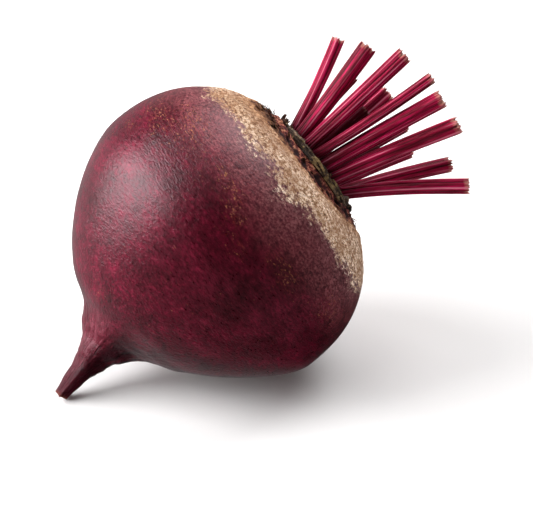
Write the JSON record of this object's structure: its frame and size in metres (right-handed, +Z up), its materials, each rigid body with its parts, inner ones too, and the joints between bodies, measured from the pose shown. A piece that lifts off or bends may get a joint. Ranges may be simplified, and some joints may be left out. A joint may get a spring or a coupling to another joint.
{
  "type": "beetroot",
  "caption": "Round table beetroot lying on its side, with a drooping tail root, a ring of dried leaf bases and short cut leaf stems.",
  "frame": {"origin": "middle of the small flat spot on the belly that the root rests on, on the table surface", "axes": "+Z up; +X from the tail towards the crown and its stems, along the table; +Y across the root"},
  "size_m": [0.1264, 0.0916, 0.0983],
  "materials": {
    "beet_skin": "dark maroon leathery skin with a soft sheen, tan and corky round the crown",
    "dried_leaf_base": "dry, rough, olive brown with ochre flecks",
    "stem_crimson": "crimson ribbed stem with a paler lilac sheen on its ridges"
  },
  "bodies": {
    "root": {"root": "beet_skin", "leaf_base_ring": "dried_leaf_base", "outer_stem_01": "stem_crimson", "outer_stem_02": "stem_crimson", "outer_stem_03": "stem_crimson", "outer_stem_04": "stem_crimson", "outer_stem_05": "stem_crimson", "outer_stem_06": "stem_crimson", "outer_stem_07": "stem_crimson", "outer_stem_08": "stem_crimson", "outer_stem_09": "stem_crimson", "outer_stem_10": "stem_crimson", "outer_stem_11": "stem_crimson", "outer_stem_12": "stem_crimson", "outer_stem_13": "stem_crimson", "outer_stem_14": "stem_crimson", "heart_stem_01": "stem_crimson", "heart_stem_02": "stem_crimson", "heart_stem_03": "stem_crimson"}
  },
  "joints": []
}
